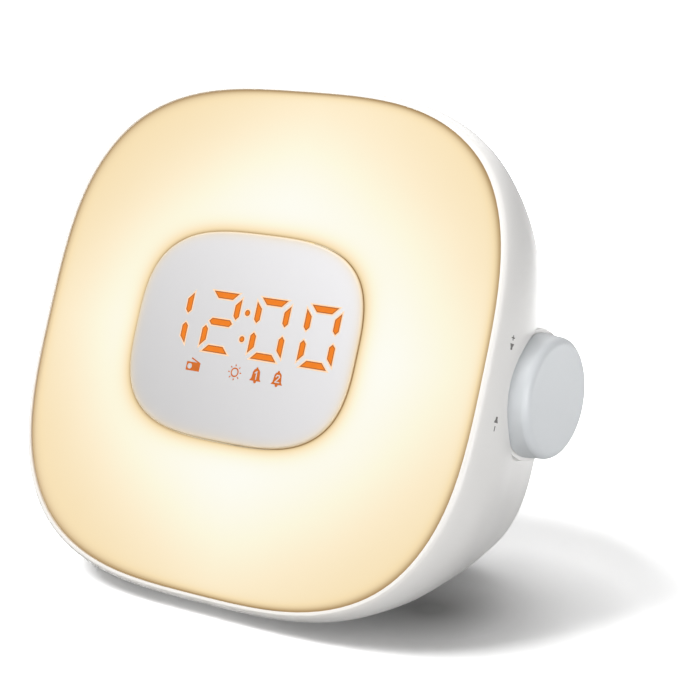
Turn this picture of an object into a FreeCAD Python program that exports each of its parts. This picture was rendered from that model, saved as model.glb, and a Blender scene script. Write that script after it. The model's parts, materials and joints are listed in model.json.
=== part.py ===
import FreeCAD, Part
import math
import os

# A sunrise alarm clock: a white case that leans back, a glowing face with a display in its middle,
# a knob on each side, a snooze bar on the top and push buttons on the back.
#
# Lengths are millimetres and angles are degrees. Everything but the feet is drawn in the face's own
# frame: x to the right, y up along the leaning face, and z straight out of it, with zero in the
# middle of the face. The last section leans the parts back and stands them on the table.

# Lamp face
face_lean = 21.4            # from upright
face_height = 91.0          # middle of the face above the table
glow_half_w = 93.0
glow_half_h = 88.5
glow_corner = 3.12          # exponent of the rounded square; 2 is an ellipse
glow_edge_depth = 0.8       # edge of the glowing surface behind the lip
glow_rise = 5.4             # its dome, from edge to middle
glow_dome = 2.2             # exponent of the dome's profile
glow_wall = 2.4
glow_gap = 0.25             # between the diffuser and the lip
dome_flat = 0.36            # share of the outline inside which the dome is flat
dome_sections = 9
hollow_drop = 1.7           # edge of the dome's inner surface below its outer edge
hollow_sag = 0.6            # how much flatter the inner surface is

# Case
lip_width = 1.2
case_half_w = 97.5
case_half_h = 91.4
side_full_depth = 18.0      # where the case is widest
top_full_depth = 7.0        # where the case is tallest
side_power = 0.40           # how the width narrows towards the back
top_power = 0.66            # how the height narrows towards the back
apex_depth = 142.8          # where both would come to a point
back_corner = 3.6           # exponent of the rounded square at the back
sink_slope = 0.138          # how the middle sinks towards the back
case_depth = 100.0
wall = 2.6
back_wall = 2.4
back_round = 4.0
seam_depth = 88.0           # where the rear cover starts
ledge_depth = 9.0           # the diffuser's seat behind the lip
ledge_thick = 2.0
ledge_width = 3.4
rib = 2.0
outline_points = 24
skin_sections = 10
bowl_sections = 4
loft_degree = 3
past = 1.0                  # how far a cutting shape runs past a face
root = 0.5                  # how deep a post or rim grows into its wall

# Base
base_height = 2.4           # underside of the case above the table
foot_r = 6.5
foot_recess = 0.8
foot_x = 25.0
foot_front_depth = 38.0     # along the case's underside, behind the face
foot_back_depth = 78.0

# Display
display_half_w = 47.2
display_half_h = 36.4
display_corner = 3.14
display_top = 4.9           # front surface of the display face
display_thick = 2.3
display_bevel = 0.8
bevel_sections = 4
display_gap = 0.25
housing_inset = 1.7
housing_wall = 1.8
housing_shelf = 2.0
shelf_width = 3.6
block_thick = 8.0
block_margin = 2.0          # round the digits
block_half_h = 17.0
board_thick = 1.6
display_chip = 1.0
display_chip_thick = 0.6
inlay_depth = 0.6
inlay_gap = 0.04
digit_w = 14.4
digit_h = 21.4
digit_pitch = 20.95
digit_mid_x = 0.2
digit_mid_y = 4.1
segment = 2.4
mitre = 1.65
tip = 1.6                   # from the digit's middle to the pointed ends
colon_r = 1.05
colon_rise = 4.6
icon_y = -12.1
icon_pitch = 9.1
digits = "1200"
lit = {"0": "abcdef", "1": "bc", "2": "abged"}

# Lamp
tray_depth = 32.0
tray_gap = 0.3
tray_back_half_w = 68.0
tray_back_half_h = 64.0
tray_wall = 1.6
lamp_board_thick = 1.5
lamp_margin = 1.8
lamp_rows = (0.22, 0.72)    # across the lamp board, from its inner to its outer edge
lamp_counts = (24, 36)
chip = 3.0
chip_thick = 0.8
lamp_screw_x = 57.0
lamp_screw_y = 20.0
ribbon_w = 14.0
ribbon_thick = 0.6
ribbon_gap = 1.0
wire_r = 0.6
wire_pitch = 3.0
wire_lead = 8.0             # from each end of a wire to its nearest corner
wire_bend = 3.0             # radius of a wire's bends
lamp_wires_y = -39.2
encoder_wires_x = 48.0
encoder_wires_y = -16.0
snooze_wires_x = 22.0

# Knobs
knob_depth = 32.5
knob_r = 20.9
knob_draft = 0.5
knob_face_x = 104.2
knob_round = 2.8
knob_skin = 2.4
boss_x = 95.2               # flat top of the boss
boss_land = 0.8
boss_flare = 12.0
boss_flare_turn = 48.0
boss_skirt = 20.0            # straight run of the flare into the case
recess_gap = 0.4
boss_floor = 2.8
boss_pocket_r = 18.4
encoder_side = 14.0
encoder_thick = 6.5
encoder_floor = 1.5
encoder_pin = 3.0
encoder_pin_pitch = 2.5
bush_r = 4.5
bush_length = 6.0
bush_fit = 0.1
shaft_r = 3.0
shaft_fit = 0.05
shaft_flat = 1.0
nut_flats = 12.0
nut_thick = 2.0
hub_r = 5.6
hub_length = 2.8

# Main board
mainboard_w = 104.0
mainboard_h = 72.0
mainboard_mid_y = -6.0
standoff = 18.0
standoff_r = 3.2
screw_r = 1.25
screw_head_r = 2.4
screw_head = 1.6
screw_fit = 0.05
screw_play = 0.2            # round a screw in the piece that it clamps
screw_grip = 5.0            # how far a small screw goes into its post
mainboard_screw_x = 46.0
mainboard_screw_y = 30.0
# Parts on the board's back, about its middle. Chips: x, y, width, height and thickness.
board_chip_places = (
    (-2, 4, 12, 12, 1.4), (-30, 8, 8, 8, 1.2), (17, -11, 10, 6, 1.6), (33, 5, 6, 6, 1.2))
capacitor_places = ((38, -14, 5), (26, -22, 4), (-38, -18, 4), (-20, -24, 3.15), (14, 20, 3.15))
capacitor_slender = 2.2     # length of a capacitor as a share of its radius
inductor_x = -19.0
inductor_y = -9.0
inductor_side = 10.0
inductor_height = 5.0
inductor_round = 1.5
socket_h = 6.0
socket_height = 6.0
socket_w = 10.0
wide_socket_w = 20.0
inlet_socket_w = 12.0
upper_sockets_y = 27.0
inlet_socket_y = -29.0
side_socket_x = 29.0

# Back
back_screw_x = 51.0
back_screw_up = 19.0
back_screw_down = 19.0
back_screw_r = 1.5
back_screw_head_r = 2.8
back_screw_head = 2.0
back_screw_sink = 0.6       # head below the back's surface
back_screw_length = 16.0
back_post_r = 4.2
back_post_length = 24.0
tongue = 3.0
tongue_wall = 1.6
tongue_gap = 0.3
speaker_x = -25.0
speaker_y = -18.5
speaker_r = 20.0
speaker_depth = 9.2
speaker_rim = 3.0
speaker_seat = 2.0          # thickness of the rim with its gasket
speaker_metal = 1.2
speaker_window = 8.0
magnet_r = 12.0
magnet_thick = 6.0
surround_w = 3.2
surround_thick = 0.5
cone_thick = 0.5
coil_r = 5.6
sleeve_height = 3.0
terminal_w = 6.0
terminal_out = 4.0
grille_r = 16.5
grille_slot = 2.0
grille_pitch = 4.0
vent_count = 9
vent_pitch = 7.0
vent_w = 2.0
vent_h = 5.0
vent_y = 19.5
button_r = 4.0
button_pitch = 16.5
button_y = 8.5
button_proud = 1.2
button_travel = 0.6
button_gap = 0.3
button_edge = 0.8
button_flange = 1.0
button_flange_out = 1.2
button_slack = 0.2          # between the flange and the back's inside
button_stem = 1.6
button_stem_r = 1.5
switch_side = 6.0
switch_thick = 3.4
switch_nub_r = 1.6
switch_nub = 0.8
switch_slack = 0.1
switch_board_h = 9.0
switch_post_r = 2.8
switch_post_out = 8.6       # from the last button's middle
switch_board_end = 3.6      # past the post's middle
jack_x = 3.0
jack_y = -37.5
jack_w = 9.0
jack_h = 11.0
jack_length = 13.0
jack_bore_r = 3.15
jack_rim = 0.55
jack_back = 3.0             # solid behind the bore
jack_sink = 0.4             # rim below the back's surface
jack_pin_r = 1.0
jack_pin_sink = 1.6
gland_x = 36.0
gland_y = -37.0
gland_r = 3.2
gland_proud = 2.0
gland_collar = 1.6
gland_lip = 1.2
gland_bore_r = 0.9
cell_x = 28.0
cell_y = -17.0
cell_r = 10.0
cell_thick = 3.2
cover_r = 13.0
cover_gap = 0.3
cover_lug = 1.3
cover_thick = 2.9
cup_wall = 1.4
cell_sink = 3.4             # cell's back below the back's surface
contact_room = 1.6
contact_thick = 0.3
contact_w = 4.0
contact_half = 6.0
contact_bend = 2.0
lug_sink = 1.4
lug_thick = 1.2
lug_root = 0.6
lug_sweep = 36.0
cover_turn = 40.0
track_play = 6.0            # degrees of play at each end of a lug's track
entry_play = 4.0
coin_slot = 15.0
coin_slot_w = 2.2
coin_slot_depth = 1.2

# Snooze bar
snooze_depth = 48.0
snooze_w = 52.0
snooze_h = 13.0
snooze_proud = 0.8
snooze_travel = 0.6
snooze_gap = 0.35
snooze_body = 5.5
snooze_flange = 1.4
snooze_flange_out = 2.2
snooze_board_drop = 8.8
snooze_board_w = 74.0
snooze_board_h = 10.0
snooze_screw_x = 33.0
snooze_post_r = 2.8
snooze_switch_thick = 1.2


def vec(x, y, z):
    return FreeCAD.Vector(x, y, z)


def block(x0, x1, y0, y1, z0, z1):
    return Part.makeBox(x1 - x0, y1 - y0, z1 - z0, vec(x0, y0, z0))


def rod(radius, start, direction, length):
    return Part.makeCylinder(radius, length, vec(*start), vec(*direction))


def out_rod(radius, x, y, z0, z1):
    """Round bar straight out of the face, from z0 to z1."""
    return rod(radius, (x, y, z0), (0, 0, 1), z1 - z0)


def out_ring(outer, inner, x, y, z0, z1):
    return out_rod(outer, x, y, z0, z1).cut(out_rod(inner, x, y, z0 - past, z1 + past))


def out_cone(r0, r1, x, y, z0, z1):
    return Part.makeCone(r0, r1, z1 - z0, vec(x, y, z0), vec(0, 0, 1))


def side_rod(radius, x0, x1):
    """Round bar along the knob's axis, from x0 to x1."""
    return rod(radius, (x0, 0, -knob_depth), (1, 0, 0), x1 - x0)


def polygon(points, z0, z1):
    corners = [vec(x, y, z0) for x, y in points]
    return Part.Face(Part.makePolygon(corners + corners[:1])).extrude(vec(0, 0, z1 - z0))


def group(solids):
    return Part.makeCompound(list(solids))


def rounded_square(half_w, half_h, corner, z, sink=0.0):
    """Closed superellipse across the case; sink lowers its middle."""
    points = []
    for i in range(outline_points):
        a = math.radians(45 + 360 * i / outline_points)
        reach = abs(math.cos(a) / half_w) ** corner + abs(math.sin(a) / half_h) ** corner
        reach = reach ** (-1 / corner)
        points.append(vec(reach * math.cos(a), reach * math.sin(a) - sink, z))
    curve = Part.BSplineCurve()
    curve.interpolate(Points=points, PeriodicFlag=True)
    return Part.Wire([curve.toShape()])


def slab(half_w, half_h, corner, z0, z1, sink=0.0):
    """Straight-sided plate with a rounded-square outline."""
    outline = rounded_square(half_w, half_h, corner, z0, sink)
    return Part.Face(outline).extrude(vec(0, 0, z1 - z0))


def narrowing(depth, full_depth, power):
    return (1 - (depth - full_depth) / (apex_depth - full_depth)) ** power


def half_size(depth, largest, front, full_depth, power):
    """Half width or half height of the case: a rounded front edge, then a taper."""
    if depth < full_depth:
        return front + (largest - front) * math.sqrt(1 - (1 - depth / full_depth) ** 2)
    return largest * narrowing(depth, full_depth, power)


def case_w(depth):
    front = glow_half_w + lip_width
    return half_size(depth, case_half_w, front, side_full_depth, side_power)


def case_h(depth):
    front = glow_half_h + lip_width
    return half_size(depth, case_half_h, front, top_full_depth, top_power)


def sink_at(depth):
    return sink_slope * max(0.0, depth - top_full_depth)


def corner_at(depth):
    return glow_corner + (back_corner - glow_corner) * depth / case_depth


def case_outline(depth, inset):
    half_w = case_w(depth) - inset
    half_h = case_h(depth) - inset
    return rounded_square(half_w, half_h, corner_at(depth), -depth, sink_at(depth))


def case_skin(inset, depth0, depth1):
    """Solid inside the case's outer surface, moved inwards by inset."""
    outlines = []
    for i in range(skin_sections + 1):
        depth = depth0 + (depth1 - depth0) * (i / skin_sections) ** 2
        outlines.append(case_outline(depth, inset))
    return Part.makeLoft(outlines, True, False, False, loft_degree)


def back_bowl(inset):
    """Solid of the rear cover's outside, moved inwards by inset, with a rounded back edge."""
    outlines = []
    end = case_depth - inset
    radius = back_round - inset / 2
    for i in range(bowl_sections + 1):
        depth = seam_depth + (end - radius - seam_depth) * i / bowl_sections
        outlines.append(case_outline(depth, inset))
    for i in range(1, bowl_sections + 1):
        a = math.radians(90 * i / bowl_sections)
        depth = end - radius + radius * math.sin(a)
        outlines.append(case_outline(depth, inset + radius * (1 - math.cos(a))))
    return Part.makeLoft(outlines, True, False, False, loft_degree)


# Place on the table: turns the face's frame upright and leans it back.
stand = FreeCAD.Placement(vec(0, 0, face_height), FreeCAD.Rotation(vec(1, 0, 0), 90 - face_lean))


def below(height):
    """Everything lower than this height above the table, in the face's frame."""
    big = 4 * case_depth
    lump = block(-big, big, -big, big, height - big, height)
    lump.Placement = stand.inverse()
    return lump


def underside_point(x, depth):
    """Place above the table of a point of the case's underside."""
    place = stand.multVec(vec(x, -case_h(depth) - sink_at(depth), -depth))
    return vec(place.x, place.y, 0)


def upright_rod(radius, point, z0, z1):
    lump = rod(radius, (point.x, point.y, z0), (0, 0, 1), z1 - z0)
    lump.Placement = stand.inverse()
    return lump


feet_points = [
    underside_point(side * foot_x, depth)
    for depth in (foot_front_depth, foot_back_depth) for side in (-1, 1)
]


def rubber_feet():
    top = base_height + foot_recess
    return group(upright_rod(foot_r, point, 0, top) for point in feet_points)


# Case shell and rear cover

inner_floor = base_height + wall
throat_half_w = glow_half_w - ledge_width
throat_half_h = glow_half_h - ledge_width
back_inner_z = -(case_depth - back_wall)
back_mid_y = -sink_at(case_depth)
back_screw_seat_z = back_screw_head + back_screw_sink - case_depth
post_top_depth = seam_depth - back_post_length
back_screws = [
    (side * back_screw_x, back_mid_y + rise)
    for side in (-1, 1) for rise in (back_screw_up, -back_screw_down)
]


def boss_flare_solid():
    """Trumpet-shaped boss that carries a knob, from inside the case to its rim."""
    r0 = knob_r + recess_gap + boss_land
    turn = math.radians(boss_flare_turn)
    half = turn / 2

    def on_flare(angle):
        x = boss_x - boss_flare * math.sin(angle)
        return vec(x, r0 + boss_flare * (1 - math.cos(angle)), 0)

    start = on_flare(0)
    end = on_flare(turn)
    foot = end + vec(-boss_skirt * math.cos(turn), boss_skirt * math.sin(turn), 0)
    base = vec(foot.x - wall, foot.y, 0)
    edges = [
        Part.makeLine(vec(boss_x, 0, 0), start),
        Part.Arc(start, on_flare(half), end).toShape(),
        Part.makeLine(end, foot),
        Part.makeLine(foot, base),
        Part.makeLine(base, vec(base.x, 0, 0)),
        Part.makeLine(vec(base.x, 0, 0), vec(boss_x, 0, 0)),
    ]
    lump = Part.Face(Part.Wire(edges)).revolve(vec(0, 0, 0), vec(1, 0, 0), 360)
    lump.translate(vec(0, 0, -knob_depth))
    big = 2 * case_half_w
    return lump.cut(block(-big, big, -big, big, -ledge_depth, big))


floor_x = boss_x - boss_floor


def knob_opening():
    """What is cut from the boss: recess, encoder bush hole and inner pocket."""
    recess = side_rod(knob_r + recess_gap, boss_x, boss_x + boss_flare)
    hole = side_rod(bush_r + bush_fit, floor_x - past, boss_x + past)
    pocket = side_rod(boss_pocket_r, floor_x - 4 * encoder_thick, floor_x)
    return recess.fuse([hole, pocket])


def both_sides(shape):
    return [shape, shape.mirror(vec(0, 0, 0), vec(1, 0, 0))]


def snooze_place():
    """Frame on the case's top: x along the bar, z straight out of the surface."""
    def top(depth):
        return case_h(depth) - sink_at(depth)

    fall = (top(snooze_depth - 1) - top(snooze_depth + 1)) / 2
    slope = math.degrees(math.atan(fall))
    spot = vec(0, top(snooze_depth), -snooze_depth)
    return FreeCAD.Placement(spot, FreeCAD.Rotation(vec(1, 0, 0), -90 - slope))


def stadium(length, width, z0, z1):
    """Bar with round ends, in the snooze bar's frame."""
    straight = (length - width) / 2
    middle = block(-straight, straight, -width / 2, width / 2, z0, z1)
    ends = [out_rod(width / 2, side * straight, 0, z0, z1) for side in (-1, 1)]
    return middle.fuse(ends).removeSplitter()


def on_top(shape):
    shape.Placement = snooze_place().multiply(shape.Placement)
    return shape


def snooze_posts():
    """Posts under the case's top that carry the snooze bar's board."""
    return [
        on_top(out_rod(snooze_post_r, side * snooze_screw_x, 0, -snooze_board_drop, -wall / 2))
        for side in (-1, 1)
    ]


def back_post(x, y):
    """Screw post behind the rear cover's corner; its rib to the side stops short of the tongue."""
    post = out_rod(back_post_r, x, y, -seam_depth, -post_top_depth)
    outer = math.copysign(case_half_w, x)
    web = block(min(x, outer), max(x, outer), y - rib / 2, y + rib / 2,
                tongue + tongue_gap - seam_depth, -post_top_depth)
    return post.fuse(web)


def case_shell():
    skin = case_skin(0, 0, seam_depth)
    bosses = both_sides(boss_flare_solid())
    hull = skin.fuse(bosses)
    cavity = case_skin(wall, ledge_depth + ledge_thick, seam_depth + past)
    recess = slab(glow_half_w + glow_gap, glow_half_h + glow_gap, glow_corner, -ledge_depth, past)
    throat = slab(
        throat_half_w, throat_half_h, glow_corner,
        -ledge_depth - ledge_thick - past, -ledge_depth + past)
    cavity = cavity.cut(below(inner_floor))
    shell = hull.cut([cavity, recess, throat] + both_sides(knob_opening()))
    skin_core = case_skin(wall / 2, ledge_depth, seam_depth)
    posts = [back_post(x, y).common(skin_core) for x, y in back_screws]
    posts += [post.common(skin_core) for post in snooze_posts()]
    shell = shell.fuse(posts)
    holes = [
        out_rod(back_screw_r + screw_fit, x, y, -seam_depth - past, -post_top_depth - wall)
        for x, y in back_screws
    ]
    deep = snooze_board_drop - wall
    holes += [
        on_top(out_rod(
            screw_r + screw_fit, side * snooze_screw_x, 0, -snooze_board_drop - past, -wall))
        for side in (-1, 1)
    ]
    slot = on_top(stadium(
        snooze_w + 2 * snooze_gap, snooze_h + 2 * snooze_gap, -deep, 2 * snooze_body))
    pads = [upright_rod(foot_r, point, -past, base_height + foot_recess) for point in feet_points]
    return shell.cut(holes + [slot, below(base_height)] + pads)


def grille_slots():
    """Loudspeaker slots that fill a circle."""
    slots = []
    count = int(grille_r / grille_pitch)
    for i in range(-count, count + 1):
        y = i * grille_pitch
        half = math.sqrt(grille_r ** 2 - y ** 2) - grille_slot / 2
        bar = stadium(
            2 * half + grille_slot, grille_slot, -case_depth - past, back_inner_z + past)
        bar.translate(vec(speaker_x, speaker_y + y, 0))
        slots.append(bar)
    return slots


def vent_slots():
    slots = []
    for i in range(vent_count):
        x = (i - (vent_count - 1) / 2) * vent_pitch
        y0 = vent_y - vent_h / 2
        slots.append(block(
            x - vent_w / 2, x + vent_w / 2, y0, y0 + vent_h,
            -case_depth - past, back_inner_z + past))
    return slots


button_names = ("alarm_one", "alarm_two", "radio", "lamp", "set")


def button_x(index):
    return (index - (len(button_names) - 1) / 2) * button_pitch


def rear_tongue():
    """Rim of the rear cover that slides into the case, open where posts and floor are."""
    lip_depth = seam_depth - tongue
    half_w = case_w(seam_depth) - wall - tongue_gap
    half_h = case_h(seam_depth) - wall - tongue_gap
    corner = corner_at(seam_depth)
    sink = sink_at(seam_depth)
    ring = slab(half_w, half_h, corner, -seam_depth - back_wall, -lip_depth, sink)
    inner = slab(half_w - tongue_wall, half_h - tongue_wall, corner,
                 -seam_depth - back_wall - past, -lip_depth + past, sink)
    room = back_bowl(0).fuse(slab(half_w, half_h, corner, -seam_depth, -lip_depth, sink))
    posts = [
        out_rod(back_post_r + tongue_gap, x, y, -seam_depth, -lip_depth + past)
        for x, y in back_screws
    ]
    return ring.cut(inner).common(room).cut([below(inner_floor + tongue_gap)] + posts)


def speaker_sleeve():
    return out_ring(speaker_r + cover_gap + cup_wall, speaker_r + cover_gap, speaker_x, speaker_y,
                    back_inner_z - root, back_inner_z + sleeve_height)


def back_holes():
    """What is cut from the back: screws, buttons, power inlet and aerial gland."""
    z0 = -case_depth - past
    z1 = back_inner_z + past
    holes = []
    for x, y in back_screws:
        holes.append(out_rod(back_screw_r + screw_play, x, y, z0, -seam_depth + past))
        holes.append(out_rod(back_screw_head_r + 2 * screw_play, x, y, z0, back_screw_seat_z))
    for i in range(len(button_names)):
        holes.append(out_rod(button_r + button_gap, button_x(i), button_y, z0, z1))
    holes.append(out_rod(jack_bore_r + jack_rim + screw_fit, jack_x, jack_y, z0, z1))
    holes.append(out_rod(gland_r, gland_x, gland_y, z0, z1))
    return holes


def rear_cover():
    shell = back_bowl(0).cut(back_bowl(back_wall))
    posts = [
        out_rod(back_post_r, x, y, back_inner_z - root, -seam_depth - screw_fit)
        for x, y in back_screws
    ]
    cup = out_rod(cover_r + cover_gap + cover_lug + cup_wall, cell_x, cell_y,
                  back_inner_z - root, cell_cup_z)
    bare = shell.fuse([rear_tongue(), speaker_sleeve(), cup] + posts)
    cuts = [below(base_height), cell_space()] + grille_slots() + vent_slots() + back_holes()
    return bare.cut(cuts).fuse(button_board_posts())


# Cell compartment: a round cup in the rear cover, closed by a cover with two bayonet lugs

cell_back_z = -case_depth + cell_sink
cell_front_z = cell_back_z + cell_thick
cell_cup_z = cell_front_z + contact_room + cup_wall
lug_z0 = -case_depth + lug_sink
lug_z1 = lug_z0 + lug_thick


def lug_ring(radius, z0, z1, start, sweep):
    """Part of a ring round the cell compartment's axis, from a start angle over a sweep."""
    sector = Part.makeCylinder(radius, z1 - z0, vec(cell_x, cell_y, z0), vec(0, 0, 1), sweep)
    sector.rotate(vec(cell_x, cell_y, 0), vec(0, 0, 1), start)
    return sector.cut(out_rod(cover_r - lug_root, cell_x, cell_y, z0 - past, z1 + past))


def cell_space():
    """Opening for the cover, the track of its lugs, and the space for the cell."""
    opening = out_rod(cover_r + cover_gap, cell_x, cell_y, -case_depth - past, cell_back_z)
    space = out_rod(cell_r + cover_gap, cell_x, cell_y, cell_back_z - past,
                    cell_front_z + contact_room)
    reach = cover_r + cover_lug + cover_gap
    tracks = [
        lug_ring(reach, lug_z0 - cover_gap, lug_z1 + cover_gap, start - cover_turn - track_play,
                 lug_sweep + cover_turn + 2 * track_play)
        for start in (0, 180)
    ]
    entries = [
        lug_ring(reach, -case_depth - past, lug_z1, start - cover_turn - entry_play,
                 lug_sweep + 2 * entry_play)
        for start in (0, 180)
    ]
    return opening.fuse([space] + tracks + entries)


def cell_cover():
    plate = out_rod(cover_r, cell_x, cell_y, -case_depth, -case_depth + cover_thick)
    lugs = [
        lug_ring(cover_r + cover_lug, lug_z0, lug_z1, start, lug_sweep) for start in (0, 180)
    ]
    slot = stadium(coin_slot, coin_slot_w, -case_depth - past, -case_depth + coin_slot_depth)
    slot.translate(vec(cell_x, cell_y, 0))
    return plate.fuse(lugs).removeSplitter().cut(slot)


def coin_cell():
    return out_rod(cell_r, cell_x, cell_y, cell_back_z, cell_front_z)


def cell_contact():
    """Flat spring that presses on the cell from the bottom of the cup."""
    top = cell_front_z + contact_room
    points = [
        (-contact_half, top), (-contact_bend, top), (0, cell_front_z + contact_thick),
        (contact_bend, top), (contact_half, top),
    ]
    lower = [(x, z - contact_thick) for x, z in reversed(points)]
    corners = [vec(cell_x + x, cell_y - contact_w / 2, z) for x, z in points + lower]
    return Part.Face(Part.makePolygon(corners + corners[:1])).extrude(vec(0, contact_w, 0))


# Diffuser and display

def dome(half_w, half_h, sag, z_edge):
    """Domed solid over a rounded square, flat in its middle."""
    last = math.acos(dome_flat ** (glow_dome / 2))
    outlines = []
    for i in range(dome_sections + 1):
        a = last * i / dome_sections
        share = math.cos(a) ** (2 / glow_dome)
        z = z_edge + (glow_rise - sag) * math.sin(a) ** (2 / glow_dome)
        outlines.append(rounded_square(half_w * share, half_h * share, glow_corner, z))
    return Part.makeLoft(outlines, True, False, False, loft_degree)


def diffuser():
    edge_z = -glow_edge_depth
    outer = dome(glow_half_w, glow_half_h, 0, edge_z)
    skirt = slab(glow_half_w, glow_half_h, glow_corner, -ledge_depth, edge_z)
    inner_w = glow_half_w - glow_wall
    inner_h = glow_half_h - glow_wall
    inner_z = edge_z - hollow_drop
    hollow = dome(inner_w, inner_h, hollow_sag, inner_z)
    inside = slab(inner_w, inner_h, glow_corner, -ledge_depth - past, inner_z)
    window = slab(display_half_w + display_gap, display_half_h + display_gap, display_corner,
                  -ledge_depth, 2 * glow_rise)
    return outer.fuse(skirt).cut([hollow.fuse(inside), window])


display_back = display_top - display_thick


def seven_segment(name, grow):
    """Outline of one segment about the digit's middle; grow widens it on every side."""
    w = digit_w / 2 + grow
    h = digit_h / 2 + grow
    t = segment + 2 * grow
    m = mitre - grow
    if name in "ad":
        y = 1 if name == "a" else -1
        return [(-w + m, y * h), (w - m, y * h), (w - m - t, y * (h - t)), (-w + m + t, y * (h - t))]
    if name == "g":
        x = digit_w / 2 - tip - segment / 4 + grow
        s = segment / 2 + grow
        return [(-x, 0), (-x + s, s), (x - s, s), (x, 0), (x - s, -s), (-x + s, -s)]
    x = 1 if name in "bc" else -1
    y = 1 if name in "bf" else -1
    low = tip - grow
    return [
        (x * w, y * (h - m)), (x * w, y * (low + t / 2)), (x * (w - t / 2), y * low),
        (x * (w - t), y * (low + t / 2)), (x * (w - t), y * (h - m - t))]


inlay_z0 = display_top - inlay_depth


def digit_inlays(grow):
    solids = []
    for i, digit in enumerate(digits):
        for name in lit[digit]:
            points = seven_segment(name, grow)
            points = [(digit_x(i) + x, digit_mid_y + y) for x, y in points]
            solids.append(polygon(points, inlay_z0 - grow, display_top))
    for side in (-1, 1):
        y = digit_mid_y + side * colon_rise
        solids.append(out_rod(colon_r + grow, digit_mid_x, y, inlay_z0 - grow, display_top))
    return solids


def sun_icon(x, z0, z1, grow):
    solids = [out_ring(1.65 + grow, 1.2 - grow, x, icon_y, z0, z1)]
    for i in range(8):
        a = math.radians(45 * i)
        ray = block(2.15 - grow, 2.75 + grow, -0.2 - grow, 0.2 + grow, z0, z1)
        ray.rotate(vec(0, 0, 0), vec(0, 0, 1), math.degrees(a))
        ray.translate(vec(x, icon_y, 0))
        solids.append(ray)
    return solids


def radio_icon(x, z0, z1, grow):
    body = block(x - 2.95 - grow, x + 2.95 + grow, icon_y - 1.9 - grow, icon_y + 1.1 + grow, z0, z1)
    cone = out_rod(1.0 - grow, x - 1.5, icon_y - 0.4, z0 - 1, z1 + 1)
    aerial = polygon([(x - 1.3 - grow, icon_y + 2.3), (x - 1.1, icon_y + 2.7 + grow),
                      (x + 2.9 + grow, icon_y + 1.1), (x + 2.0 - grow, icon_y + 0.95)], z0, z1)
    return [body.cut(cone).fuse(aerial).removeSplitter()]


def numeral_strokes(numeral, x, y, z0, z1, grow):
    """Figure 1 or 2 as straight strokes, 2.6 tall."""
    if numeral == 1:
        path = [(-0.55, 0.75), (0.15, 1.3), (0.15, -1.3)]
    else:
        path = [(-0.75, 0.65), (-0.45, 1.2), (0.45, 1.2), (0.75, 0.6), (-0.75, -1.15), (0.85, -1.15)]
    half = 0.22 - grow
    solids = []
    for (x0, y0), (x1, y1) in zip(path, path[1:]):
        length = math.hypot(x1 - x0, y1 - y0)
        bar = block(-half, length + half, -half, half, z0 - 1, z1 + 1)
        bar.rotate(vec(0, 0, 0), vec(0, 0, 1), math.degrees(math.atan2(y1 - y0, x1 - x0)))
        bar.translate(vec(x + x0, y + y0, 0))
        solids.append(bar)
    return solids


def bell_icon(numeral, x, z0, z1, grow):
    y = icon_y
    crown = out_rod(1.5 + grow, x, y + 1.0, z0, z1)
    skirt = polygon([(x - 1.5 - grow, y + 1.0), (x + 1.5 + grow, y + 1.0), (x + 1.75 + grow, y - 0.9),
                     (x + 2.45 + grow, y - 1.75 - grow), (x - 2.45 - grow, y - 1.75 - grow),
                     (x - 1.75 - grow, y - 0.9)], z0, z1)
    knob = out_rod(0.4 + grow, x, y + 2.6, z0, z1)
    clapper = out_rod(0.6 + grow, x, y - 1.95, z0, z1)
    bell = crown.fuse([skirt, knob, clapper]).removeSplitter()
    return bell.cut(numeral_strokes(numeral, x, y + 0.2, z0, z1, grow)).Solids


def icon_inlays(grow):
    z0 = inlay_z0 - grow
    z1 = display_top
    solids = radio_icon(digit_mid_x - 2 * icon_pitch, z0, z1, grow)
    solids += sun_icon(digit_mid_x, z0, z1, grow)
    solids += bell_icon(1, digit_mid_x + icon_pitch, z0, z1, grow)
    solids += bell_icon(2, digit_mid_x + 2 * icon_pitch, z0, z1, grow)
    return solids


def display_face():
    """Pale plate with a rounded rim and shallow pockets for the lit inlays."""
    plate = slab(display_half_w, display_half_h, display_corner, display_back,
                 display_top - display_bevel)
    outlines = []
    for i in range(bevel_sections + 1):
        a = math.radians(90 * i / bevel_sections)
        inset = display_bevel * (1 - math.cos(a))
        z = display_top - display_bevel * (1 - math.sin(a))
        outlines.append(rounded_square(
            display_half_w - inset, display_half_h - inset, display_corner, z))
    rim = Part.makeLoft(outlines, True, False, False, loft_degree)
    pockets = digit_inlays(inlay_gap) + icon_inlays(inlay_gap)
    return plate.fuse(rim).cut(pockets)


housing_w = display_half_w - housing_inset
housing_h = display_half_h - housing_inset
block_z0 = display_back - block_thick
display_board_z0 = block_z0 - board_thick


def display_housing():
    """Light-tight tube from the display face back to the reflector, with a shelf for the board."""
    tube = slab(housing_w, housing_h, display_corner, -tray_depth, display_back)
    bore = slab(housing_w - housing_wall, housing_h - housing_wall, display_corner,
                -tray_depth - past, display_back + past)
    shelf_z = display_board_z0
    outer = slab(housing_w - root, housing_h - root, display_corner,
                 shelf_z - housing_shelf, shelf_z)
    inner = slab(housing_w - housing_wall - shelf_width, housing_h - housing_wall - shelf_width,
                 display_corner, shelf_z - housing_shelf - past, shelf_z + past)
    return tube.cut(bore).fuse(outer.cut(inner))


def digit_x(index):
    return digit_mid_x + (index - (len(digits) - 1) / 2) * digit_pitch


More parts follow.
